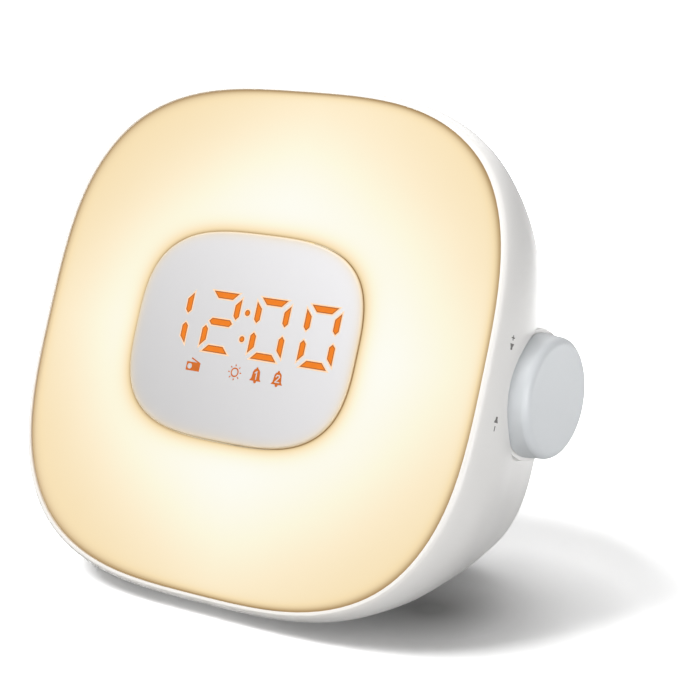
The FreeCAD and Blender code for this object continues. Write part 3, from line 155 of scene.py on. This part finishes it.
class Finish:
    """A procedural material: one Principled shader and the nodes that feed it."""

    def __init__(self, name, **sockets):
        self.material = bpy.data.materials.new(name)
        self.material.use_nodes = True
        self.tree = self.material.node_tree
        self.shader = self.tree.nodes["Principled BSDF"]
        self.coordinates = None
        for socket, value in sockets.items():
            self.set(socket, value)

    @classmethod
    def of_tree(cls, tree):
        """Only the tools for feeding nodes, for a tree that is there already."""
        made = cls.__new__(cls)
        made.tree = tree
        made.coordinates = None
        return made

    def set(self, socket, value):
        self.feed(self.shader.inputs[socket.replace("_", " ")], value)

    def feed(self, target, value):
        if isinstance(value, bpy.types.NodeSocket):
            self.tree.links.new(value, target)
        else:
            target.default_value = value

    def node(self, kind, inputs, **settings):
        made = self.tree.nodes.new(kind)
        for name, value in settings.items():
            setattr(made, name, value)
        for key, value in inputs.items():
            self.feed(made.inputs[key], value)
        return made

    def math(self, operation, first, second=0.0, third=0.0):
        inputs = {0: first, 1: second, 2: third}
        return self.node("ShaderNodeMath", inputs, operation=operation).outputs[0]

    def add(self, *values):
        total = values[0]
        for value in values[1:]:
            total = self.math("ADD", total, value)
        return total

    def times(self, first, second):
        return self.math("MULTIPLY", first, second)

    def power(self, base, exponent):
        return self.math("POWER", base, exponent)

    def fade(self, distance, reach):
        """1 at distance zero, falling off over the reach."""
        return self.math("EXPONENT", self.times(distance, -1 / reach))

    def place(self):
        """Where a point of the surface is, in the row frame."""
        if self.coordinates is None:
            self.coordinates = self.node("ShaderNodeTexCoord", {}).outputs["Object"]
        return self.coordinates

    def face_place(self):
        """Where a point is in the face's frame, in millimetres, as three sockets."""
        turned = self.node("ShaderNodeMapping", {
            "Vector": self.place(),
            "Location": middle,
            "Rotation": (math.pi / 2 - face_lean, 0, 0),
            "Scale": (mm, mm, mm),
        }, vector_type="TEXTURE")
        split = self.node("ShaderNodeSeparateXYZ", {"Vector": turned.outputs[0]})
        return split.outputs[0], split.outputs[1], split.outputs[2]

    def noise(self, size, detail=2.0, stretch=None):
        """Cloudy values round 0.5, whose blotches are about size across."""
        vector = self.place()
        if stretch is not None:
            vector = self.node("ShaderNodeMapping", {
                "Vector": vector, "Scale": stretch}).outputs[0]
        return self.node("ShaderNodeTexNoise", {
            "Vector": vector, "Scale": 1 / size, "Detail": detail}).outputs["Fac"]

    def between(self, share, low, high):
        """Number from low to high as share goes from 0 to 1."""
        return self.node("ShaderNodeMapRange", {
            "Value": share, "To Min": low, "To Max": high}).outputs[0]

    def blend(self, share, first, second):
        mixed = self.node("ShaderNodeMix", {"Factor": share}, data_type="RGBA")
        self.feed(mixed.inputs[6], first)
        self.feed(mixed.inputs[7], second)
        return mixed.outputs[2]

    def ramp(self, value, stops):
        made = self.node("ShaderNodeValToRGB", {"Fac": value})
        elements = made.color_ramp.elements
        while len(elements) < len(stops):
            elements.new(0.5)
        for element, (position, colour) in zip(elements, stops):
            element.position = position
            element.color = colour
        return made.outputs["Color"]

    def bump(self, height, depth):
        """Relief of the surface, from height 0 to 1 over the depth in metres."""
        made = self.node("ShaderNodeBump", {"Height": height, "Distance": depth, "Strength": 1.0})
        self.set("Normal", made.outputs[0])

    def outline_share(self, x, y, outline, shift=(0.0, 0.0)):
        """1 on a rounded-square outline, less inside it and more outside."""
        half_w, half_h, corner = outline
        across = self.power(self.math("ABSOLUTE", self.add(x, -shift[0])), corner)
        along = self.power(self.math("ABSOLUTE", self.add(y, -shift[1])), corner)
        total = self.add(
            self.times(across, half_w ** -corner), self.times(along, half_h ** -corner))
        return self.power(total, 1 / corner)


def tinted(colour, share):
    """The colour made lighter or darker by a share."""
    return tuple(min(1.0, c * (1 + share)) for c in colour[:3]) + (1.0,)


def moulded_plastic(name, colour, roughness, grain=0.012 * mm, uneven=0.02):
    """Injection-moulded plastic with a fine spark-eroded grain and slight flow marks."""
    finish = Finish(name, Specular_IOR_Level=0.42)
    clouds = finish.noise(45 * mm, 3.0)
    finish.set("Base Color", finish.blend(clouds, tinted(colour, -uneven), tinted(colour, uneven)))
    erosion = finish.noise(0.35 * mm, 3.0)
    finish.set("Roughness", finish.between(erosion, roughness - 0.06, roughness + 0.06))
    finish.bump(erosion, grain)
    return finish


def lip_glow(finish):
    """Light of the lamp in the case's lip, strongest where it touches the diffuser."""
    x, y, z = finish.face_place()
    rim = finish.outline_share(x, y, lamp_outline)
    reach = finish.math("SQRT", finish.add(finish.times(x, x), finish.times(y, y)))
    beyond = finish.math("MAXIMUM", finish.times(reach, finish.add(rim, -1.0)), 0.0)
    behind = finish.math("MAXIMUM", finish.times(z, -1.0), 0.0)
    glow = finish.times(finish.fade(beyond, 1.6), finish.fade(behind, 2.6))
    finish.set("Emission Color", finish.blend(glow, (0, 0, 0, 1), srgb(255, 226, 176)))
    finish.set("Emission Strength", 0.12)


def white_case():
    finish = moulded_plastic("white_case_finish", (0.77, 0.76, 0.745, 1), 0.42)
    lip_glow(finish)
    return finish


def white_knob():
    return moulded_plastic("white_knob_finish", (0.66, 0.685, 0.705, 1), 0.42, 0.008 * mm)


def lamp_diffuser():
    """Opal plastic lit from behind by a ring of light chips."""
    finish = Finish("lamp_diffuser_finish", Roughness=0.5, Specular_IOR_Level=0.1)
    x, y, z = finish.face_place()
    ring = finish.outline_share(x, y, ring_outline, ring_shift)
    ring_light = finish.math("EXPONENT", finish.times(
        finish.power(finish.times(ring, 1 / ring_reach), ring_fall), -1.0))
    reach = finish.math("SQRT", finish.add(finish.times(x, x), finish.times(y, y)))
    window = finish.outline_share(x, y, window_outline)
    # Distance outside the window, for the painted shade and the painted gap shadow next to it
    outside_window = finish.times(reach, finish.add(1.0, finish.times(
        finish.math("DIVIDE", 1.0, window), -1.0)))
    # Painted shade along the outer edge, wider at the left
    lamp = finish.outline_share(x, y, lamp_outline)
    inside_edge = finish.times(reach, finish.add(finish.math("DIVIDE", 1.0, lamp), -1.0))
    from_left = finish.add(1.0, finish.times(x, 1 / lamp_outline[0]))
    edge_shade_fall = finish.between(from_left, -1 / edge_painted_shade_reach_left, -1 / edge_painted_shade_reach)
    edge_shade_share = finish.math("EXPONENT", finish.times(inside_edge, edge_shade_fall))
    # Level of the glow: the ring of light, less the painted shade and painted gap shadow by the
    # window and the painted shade along the outer edge
    level = finish.add(
        far_level,
        finish.times(ring_light, 1 - far_level),
        finish.times(finish.fade(outside_window, window_painted_shade_reach), -window_painted_shade),
        finish.times(finish.fade(outside_window, window_gap_shadow_reach), -window_gap_shadow),
        finish.times(edge_shade_share, -edge_painted_shade),
        finish.times(finish.add(finish.noise(30 * mm), -0.5), 0.02),
    )
    colour = finish.ramp(level, (
        (0.35, srgb(176, 146, 104)),
        (0.51, srgb(208, 181, 136)),
        (0.61, srgb(232, 207, 162)),
        (0.69, srgb(248, 225, 180)),
        (0.79, srgb(254, 238, 204)),
        (0.87, srgb(254, 249, 223)),
        (0.97, srgb(255, 255, 247)),
    ))
    finish.set("Base Color", (0.015, 0.013, 0.01, 1))
    finish.set("Emission Color", colour)
    finish.set("Emission Strength", 0.95)
    finish.bump(finish.noise(0.5 * mm, 3.0), 0.01 * mm)
    return finish


def display_grey():
    """Pale translucent plate; the lamp round it lights its rim. Painted light makes it lighter
    towards the upper right, and its side wall is painted brown as shade.
    """
    finish = Finish("display_grey_finish", Specular_IOR_Level=0.35)
    x, y, z = finish.face_place()
    # Painted light and shade: the plate is painted lighter towards the upper right and darker
    # towards the lower left
    share = finish.add(0.5, finish.times(x, 0.30 / 47), finish.times(y, 0.20 / 36))
    face = finish.blend(share, srgb(181, 180, 180), srgb(224, 223, 225))
    rim = finish.outline_share(x, y, window_outline)
    reach = finish.math("SQRT", finish.add(finish.times(x, x), finish.times(y, y)))
    inside = finish.times(reach, finish.add(finish.math("DIVIDE", 1.0, rim), -1.0))
    near_rim = finish.fade(inside, 1.3)
    # Painted shade: below the rounded rim the side wall is painted brown and its glow dies out, as
    # the shade of the gap round the plate
    sunk = finish.node("ShaderNodeMapRange", {
        "Value": z, "From Min": display_top - display_wall_start,
        "From Max": display_top - display_wall_end}).outputs[0]
    top = finish.blend(near_rim, face, srgb(206, 186, 152))
    finish.set("Base Color", finish.blend(sunk, top, srgb(168, 138, 98)))
    glow = finish.times(near_rim, finish.add(1.0, finish.times(sunk, -1.0)))
    finish.set("Emission Color", finish.blend(glow, (0, 0, 0, 1), srgb(255, 232, 186)))
    finish.set("Emission Strength", 0.12)
    grain = finish.noise(0.4 * mm, 3.0)
    finish.set("Roughness", finish.between(grain, 0.44, 0.56))
    finish.bump(grain, 0.006 * mm)
    return finish


def light_through(name, centre, edge, strength):
    """Coloured light behind a translucent inlay, a little uneven."""
    finish = Finish(name, Roughness=0.5, Specular_IOR_Level=0.15)
    finish.set("Base Color", finish.blend(
        finish.noise(2 * mm), tinted(edge, -0.9), tinted(centre, -0.9)))
    finish.set("Emission Color", finish.blend(finish.noise(1.5 * mm), edge, centre))
    finish.set("Emission Strength", strength)
    return finish


def orange_light():
    return light_through("orange_light_finish", srgb(236, 128, 24), srgb(226, 116, 16), 0.95)


def icon_light():
    return light_through("icon_light_finish", srgb(212, 112, 36), srgb(196, 96, 26), 0.9)


def brown_light():
    return light_through("brown_light_finish", srgb(186, 104, 44), srgb(172, 92, 34), 0.85)


def peach_light():
    return light_through("peach_light_finish", srgb(255, 219, 182), srgb(252, 212, 172), 0.92)


def white_inner():
    return moulded_plastic("white_inner_finish", (0.84, 0.84, 0.83, 1), 0.5, 0.01 * mm, 0.03)


def black_plastic():
    return moulded_plastic("black_plastic_finish", (0.028, 0.028, 0.03, 1), 0.45, 0.01 * mm, 0.15)


def grey_button():
    return moulded_plastic("grey_button_finish", (0.33, 0.335, 0.34, 1), 0.4, 0.008 * mm, 0.04)


def board(name, lacquer, track):
    """Lacquered circuit board with faint copper tracks under the lacquer."""
    finish = Finish(name, Roughness=0.32, Specular_IOR_Level=0.5)
    cells = finish.node("ShaderNodeTexVoronoi", {
        "Vector": finish.place(), "Scale": 260.0}, feature="DISTANCE_TO_EDGE", distance="EUCLIDEAN")
    lines = finish.math("LESS_THAN", cells.outputs["Distance"], 0.08)
    finish.set("Base Color", finish.blend(lines, lacquer, track))
    finish.bump(finish.add(finish.times(lines, 0.6), finish.noise(2 * mm)), 0.02 * mm)
    return finish


def circuit_board():
    return board("circuit_board_finish", (0.012, 0.13, 0.05, 1), (0.03, 0.22, 0.09, 1))


def white_board():
    return board("white_board_finish", (0.82, 0.82, 0.80, 1), (0.72, 0.72, 0.70, 1))


def yellow_chip():
    """Light chips: phosphor over a white body."""
    finish = Finish("yellow_chip_finish", Roughness=0.4)
    finish.set("Base Color", finish.blend(
        finish.noise(1 * mm), (0.85, 0.62, 0.12, 1), (0.9, 0.74, 0.25, 1)))
    finish.set("Emission Color", srgb(255, 240, 190))
    finish.set("Emission Strength", 0.6)
    return finish


def brushed_metal(name, colour, roughness):
    finish = Finish(name, Metallic=1.0)
    streaks = finish.noise(1.2 * mm, 4.0, stretch=(1.0, 1.0, 14.0))
    finish.set("Base Color", finish.blend(streaks, tinted(colour, -0.12), tinted(colour, 0.05)))
    finish.set("Roughness", finish.between(streaks, roughness - 0.08, roughness + 0.1))
    finish.bump(streaks, 0.006 * mm)
    return finish


def steel():
    return brushed_metal("steel_finish", (0.60, 0.60, 0.61, 1), 0.3)


def brass_part():
    return brushed_metal("brass_part_finish", (0.72, 0.55, 0.26, 1), 0.32)


def cell_steel():
    return brushed_metal("cell_steel_finish", (0.66, 0.67, 0.68, 1), 0.22)


def rubber(name, colour):
    finish = Finish(name, Specular_IOR_Level=0.25)
    dust = finish.noise(6 * mm, 4.0)
    finish.set("Base Color", finish.blend(dust, tinted(colour, -0.2), tinted(colour, 0.3)))
    finish.set("Roughness", finish.between(dust, 0.7, 0.9))
    finish.bump(finish.noise(0.3 * mm, 3.0), 0.02 * mm)
    return finish


def rubber_black():
    return rubber("rubber_black_finish", (0.03, 0.03, 0.03, 1))


def rubber_grey():
    return rubber("rubber_grey_finish", (0.25, 0.25, 0.255, 1))


def cable_grey():
    return rubber("cable_grey_finish", (0.09, 0.095, 0.105, 1))


def cone_paper():
    """Pressed paper pulp."""
    finish = Finish("cone_paper_finish", Roughness=0.9, Specular_IOR_Level=0.15)
    fibres = finish.noise(0.8 * mm, 5.0, stretch=(3.0, 1.0, 1.0))
    finish.set("Base Color", finish.blend(fibres, (0.03, 0.03, 0.032, 1), (0.075, 0.072, 0.07, 1)))
    finish.bump(fibres, 0.05 * mm)
    return finish


def grey_ink():
    finish = Finish("grey_ink_finish", Roughness=0.55, Specular_IOR_Level=0.3)
    finish.set("Base Color", finish.blend(
        finish.noise(0.4 * mm), srgb(96, 94, 92), srgb(118, 116, 114)))
    return finish


slot_finishes = {
    "white_case": white_case,
    "white_knob": white_knob,
    "lamp_diffuser": lamp_diffuser,
    "display_grey": display_grey,
    "orange_light": orange_light,
    "white_inner": white_inner,
    "black_plastic": black_plastic,
    "circuit_board": circuit_board,
    "white_board": white_board,
    "yellow_chip": yellow_chip,
    "steel": steel,
    "brass_part": brass_part,
    "cell_steel": cell_steel,
    "rubber_black": rubber_black,
    "rubber_grey": rubber_grey,
    "cone_paper": cone_paper,
    "grey_button": grey_button,
    "cable_grey": cable_grey,
}


def dress_nodes():
    """Gives every node of the frame the finish of its own material slot."""
    made = {}
    for node in nodes.values():
        slot = node.data.materials[0].name
        if slot not in made:
            made[slot] = slot_finishes[slot]().material
        node.data.materials[0] = made[slot]
    nodes["display_icons"].data.materials[0] = icon_light().material


# Printed marks and the light round the digits

def ring_of(points_or_radius, centre=(0.0, 0.0), count=28):
    x, y = centre
    steps = [2 * math.pi * i / count for i in range(count)]
    return [
        (x + points_or_radius * math.cos(a), y + points_or_radius * math.sin(a)) for a in steps]


def bar(x0, y0, x1, y1):
    return [(x0, y0), (x1, y0), (x1, y1), (x0, y1)]


def stroke(x0, y0, x1, y1, width):
    """Straight line of the given width between two points, as a closed outline."""
    along = Vector((x1 - x0, y1 - y0)).normalized() * width / 2
    across = Vector((-along.y, along.x))
    start = Vector((x0, y0)) - along
    end = Vector((x1, y1)) + along
    return [tuple(p) for p in (start - across, end - across, end + across, start + across)]


def plus_sign(size, line):
    h = size / 2
    w = line / 2
    return [[(-h, -w), (-w, -w), (-w, -h), (w, -h), (w, -w), (h, -w),
             (h, w), (w, w), (w, h), (-w, h), (-w, w), (-h, w)]]


def minus_sign(size, line):
    return [bar(-size / 2, -line / 2, size / 2, line / 2)]


def speaker_symbol(size):
    """Loudspeaker seen from the side: a box and a cone that opens to the right."""
    h = size / 2
    return [[(-h, -0.22 * size), (-0.1 * size, -0.22 * size), (h, -h),
             (h, h), (-0.1 * size, 0.22 * size), (-h, 0.22 * size)]]


def sun_symbol(size, rays=8):
    r = size / 2
    outlines = [ring_of(0.52 * r), ring_of(0.34 * r)]
    for i in range(rays):
        a = 2 * math.pi * i / rays
        c, s = math.cos(a), math.sin(a)
        outlines.append(stroke(0.74 * r * c, 0.74 * r * s, 0.94 * r * c, 0.94 * r * s, 0.12 * r))
    return outlines


def bell_symbol(size, numeral):
    """Bell with a numeral left open in it."""
    k = size / 5.4
    dome = [(1.5 * math.cos(math.radians(a)), 1.0 + 1.5 * math.sin(math.radians(a)))
            for a in range(0, 181, 15)]
    body = dome + [(-1.75, -0.9), (-2.45, -1.75), (2.45, -1.75), (1.75, -0.9)]
    holes = {
        1: [stroke(0.1, 1.4, 0.1, -0.9, 0.5)],
        2: [[(-0.75, 1.0), (-0.4, 1.5), (0.45, 1.5), (0.8, 1.05), (0.8, 0.6), (-0.2, -0.7),
             (0.8, -0.7), (0.8, -1.15), (-0.85, -1.15), (-0.85, -0.7), (0.3, 0.65), (0.3, 0.95),
             (-0.3, 0.95)]],
    }
    outlines = [body] + holes[numeral] + [ring_of(0.45, (0, -2.4), 16), ring_of(0.32, (0, 2.9), 16)]
    return [[(k * x, k * y) for x, y in outline] for outline in outlines]


def radio_symbol(size):
    k = size / 5.9
    outlines = [
        bar(-2.95, -1.9, 2.95, 1.1), ring_of(1.0, (-1.5, -0.4)), stroke(-1.2, 1.6, 2.4, 2.8, 0.35)]
    return [[(k * x, k * y) for x, y in outline] for outline in outlines]


def clock_symbol(size):
    r = size / 2
    return [ring_of(r), ring_of(0.8 * r),
            stroke(0, 0, 0, 0.5 * r, 0.16 * r), stroke(0.08 * r, 0, 0.4 * r, 0, 0.16 * r)]


def printed(name, outlines, place, proud=ink_proud, sunk=ink_sunk, finish=None):
    """Thin solid film with these outlines in millimetres; inner outlines are holes."""
    curve = bpy.data.curves.new(name, "CURVE")
    curve.dimensions = "2D"
    curve.fill_mode = "BOTH"
    curve.extrude = (proud + sunk) / 2 * mm
    for outline in outlines:
        spline = curve.splines.new("POLY")
        spline.points.add(len(outline) - 1)
        for point, (x, y) in zip(spline.points, outline):
            point.co = (x * mm, y * mm, 0, 1)
        spline.use_cyclic_u = True
    drawn = bpy.data.objects.new(name + "_outline", curve)
    mesh = bpy.data.meshes.new_from_object(drawn)
    bpy.data.objects.remove(drawn)
    bpy.data.curves.remove(curve)
    mesh.name = name
    mesh.transform(Matrix.Translation((0, 0, (proud - sunk) / 2 * mm)))
    mesh.transform(place)
    mesh.materials.clear()
    mesh.materials.append(finish)
    piece = bpy.data.objects.new(name, mesh)
    bpy.context.scene.collection.objects.link(piece)
    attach(piece, "case")
    return piece


def tree_of(node):
    return BVHTree.FromObject(nodes[node], bpy.context.evaluated_depsgraph_get())


def turned_place(spot, outward, reading):
    """Place at a spot of a surface: z along its normal, x along the reading direction."""
    across = outward.cross(reading).normalized()
    along = across.cross(outward)
    turn = Matrix((along, across, outward)).transposed().to_4x4()
    return Matrix.Translation(spot) @ turn


def side_marks(prefix, side, symbols, ink):
    """Marks in front of a knob, read along the case's side away from the knob's middle."""
    shell = tree_of("case_shell")
    for way, (symbol, sign) in zip((1, -1), symbols):
        for label, outlines, height in (
                (symbol[0], symbol[1], symbol_height), (sign[0], sign[1], sign_height)):
            start = on_face(side * 150.0, way * height, -side_mark_depth)
            spot, normal, index, distance = shell.ray_cast(start, Vector((-side, 0, 0)))
            place = turned_place(spot, normal, way * face_up)
            piece = printed(f"{prefix}_{label}", outlines, place, finish=ink)


def back_marks(ink):
    """Pictograms over the buttons on the back; seen from behind, x runs the other way."""
    symbols = (
        ("bell_one", bell_symbol(3.2, 1)),
        ("bell_two", bell_symbol(3.2, 2)),
        ("radio", radio_symbol(3.4)),
        ("sun", sun_symbol(3.6)),
        ("clock", clock_symbol(3.0)),
    )
    for i, (label, outlines) in enumerate(symbols):
        x = (i - (len(symbols) - 1) / 2) * button_pitch
        place = turned_place(on_face(x, button_mark_y, -back_depth), -face_out, Vector((-1, 0, 0)))
        piece = printed(f"back_mark_{label}", outlines, place, finish=ink)


def digit_rings(name, outwards, width, finish):
    """Thin ring of light along each lit segment's outline, outside or inside it."""
    top_z = display_top
    source = bmesh.new()
    source.from_mesh(nodes["digit_segments"].data)
    bmesh.ops.transform(source, matrix=face_place.inverted(), verts=source.verts)
    lower = [f for f in source.faces if f.calc_center_median().z < (top_z - 0.01) * mm]
    bmesh.ops.delete(source, geom=lower, context="FACES")
    bmesh.ops.remove_doubles(source, verts=source.verts, dist=0.001 * mm)
    bmesh.ops.dissolve_limit(
        source, angle_limit=math.radians(1), verts=source.verts, edges=source.edges)
    faces = list(source.faces)
    inset = -width * mm if outwards else width * mm
    rings = bmesh.ops.inset_region(
        source, faces=faces, thickness=inset, use_boundary=True, use_even_offset=True)["faces"]
    keep = set(rings)
    bmesh.ops.delete(source, geom=[f for f in source.faces if f not in keep], context="FACES")
    bmesh.ops.translate(source, verts=source.verts, vec=(0, 0, ink_proud * mm))
    lowered = bmesh.ops.extrude_face_region(source, geom=list(source.faces))["geom"]
    bmesh.ops.translate(
        source, verts=[g for g in lowered if isinstance(g, bmesh.types.BMVert)],
        vec=(0, 0, -(ink_proud + ink_sunk) * mm))
    bmesh.ops.recalc_face_normals(source, faces=source.faces)
    bmesh.ops.transform(source, matrix=face_place, verts=source.verts)
    mesh = bpy.data.meshes.new(name)
    source.to_mesh(mesh)
    source.free()
    mesh.materials.append(finish.material)
    piece = bpy.data.objects.new(name, mesh)
    bpy.context.scene.collection.objects.link(piece)
    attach(piece, "case")


# Stage, light and camera

def whiteness(finish, seen, unseen):
    """One value for what the camera sees, directly or in gloss or glass, one for other light."""
    path = finish.node("ShaderNodeLightPath", {})
    shown = path.outputs["Is Camera Ray"]
    for extra in ("Is Glossy Ray", "Is Transmission Ray"):
        shown = finish.math("MAXIMUM", shown, path.outputs[extra])
    return finish.node("ShaderNodeMapRange", {
        "Value": shown, "To Min": unseen, "To Max": seen}).outputs[0]


def white_room(strength):
    """White all round; it lights the clock with less than what the camera sees."""
    world = bpy.data.worlds.new("room")
    bpy.context.scene.world = world
    world.use_nodes = True
    room = Finish.of_tree(world.node_tree)
    background = room.tree.nodes["Background"]
    background.inputs["Color"].default_value = (1, 1, 1, 1)
    room.feed(background.inputs["Strength"], whiteness(room, 1.0, strength))


def floor(half_size, painted_shadow_colour, near_colour, far_colour, unseen_colour):
    """Pale floor. The camera sees its colour painted darker at the core of the clock's shadow, a
    painted shadow that fades out softly round it, and lighter far away, where the lamps no longer
    reach it."""
    mesh = bpy.data.meshes.new("floor")
    sheet = bmesh.new()
    bmesh.ops.create_grid(sheet, x_segments=4, y_segments=4, size=half_size)
    sheet.to_mesh(mesh)
    sheet.free()
    piece = bpy.data.objects.new("floor", mesh)
    bpy.context.scene.collection.objects.link(piece)
    piece.location.z = cad_box[0].z
    finish = Finish("floor_finish")
    span = finish.node(
        "ShaderNodeVectorMath", {0: finish.place(), 1: shadow_core}, operation="DISTANCE")
    away = span.outputs["Value"]
    # Painted shadow: darkest at the core, fading out to the floor's own tone
    near = finish.node("ShaderNodeMapRange", {
        "Value": away, "From Min": shadow_start, "From Max": shadow_end,
        "To Min": painted_shadow_colour, "To Max": near_colour}).outputs[0]
    far = finish.node("ShaderNodeMapRange", {
        "Value": away, "From Min": dim_start, "From Max": dim_end,
        "To Min": 1.0, "To Max": far_colour / near_colour}).outputs[0]
    seen = finish.times(near, far)
    finish.tree.nodes.remove(finish.shader)
    diffuse = finish.node("ShaderNodeBsdfDiffuse", {
        "Color": whiteness(finish, seen, unseen_colour)})
    finish.feed(finish.tree.nodes["Material Output"].inputs["Surface"], diffuse.outputs[0])
    mesh.materials.append(finish.material)


def soft_lamp(name, direction, distance, size, power):
    """Square soft light that faces the clock; its direction is seen from the camera."""
    light = bpy.data.lights.new(name, "AREA")
    light.size = size
    light.energy = power
    lamp = bpy.data.objects.new(name, light)
    bpy.context.scene.collection.objects.link(lamp)
    rightwards, backwards, upwards = direction
    way = Vector((
        rightwards * math.cos(camera_turn) - backwards * math.sin(camera_turn),
        rightwards * math.sin(camera_turn) + backwards * math.cos(camera_turn),
        upwards)).normalized()
    lamp.location = middle + distance * way
    lamp.rotation_mode = "QUATERNION"
    lamp.rotation_quaternion = (-way).to_track_quat("-Z", "Y")


def camera():
    right = Vector((math.cos(camera_turn), math.sin(camera_turn), 0))
    forward = Vector((
        -math.sin(camera_turn) * math.cos(camera_rise),
        math.cos(camera_turn) * math.cos(camera_rise),
        -math.sin(camera_rise)))
    up = right.cross(forward)
    data = bpy.data.cameras.new("camera")
    data.lens = camera_lens
    data.sensor_width = camera_sensor
    data.clip_start = 0.01
    data.clip_end = 50
    made = bpy.data.objects.new("camera", data)
    bpy.context.scene.collection.objects.link(made)
    spot = middle + axis_right_of_face * right - axis_below_face * up - camera_distance * forward
    turn = Matrix((right, up, -forward)).transposed().to_4x4()
    made.matrix_world = Matrix.Translation(spot) @ turn
    bpy.context.scene.camera = made


def dress_scene():
    dress_nodes()
    ink = grey_ink().material
    side_marks("volume", 1, (
        (("speaker_up", speaker_symbol(2.0)), ("plus", plus_sign(1.7, 0.4))),
        (("speaker_down", speaker_symbol(2.0)), ("minus", minus_sign(1.7, 0.4))),
    ), ink)
    side_marks("brightness", -1, (
        (("sun_up", sun_symbol(2.8)), ("plus", plus_sign(1.7, 0.4))),
        (("sun_down", sun_symbol(2.1)), ("minus", minus_sign(1.7, 0.4))),
    ), ink)
    back_marks(ink)
    digit_rings("digit_glow", True, digit_glow_width, peach_light())
    digit_rings("digit_edge", False, digit_edge_width, brown_light())


def set_stage():
    white_room(0.14)
    floor(4.0, 0.42, 2.0, 9.0, 0.3)
    soft_lamp("key", (-0.6, -0.2, 1.0), 1.1, 0.6, 12.5)
    soft_lamp("rim", (0.5, 1.0, 1.0), 1.1, 0.6, 3.0)
    soft_lamp("fill", (0.4, -1.0, 0.1), 1.4, 0.3, 11.0)
    camera()
    bpy.context.scene.view_settings.view_transform = "Standard"


dress_scene()
set_stage()
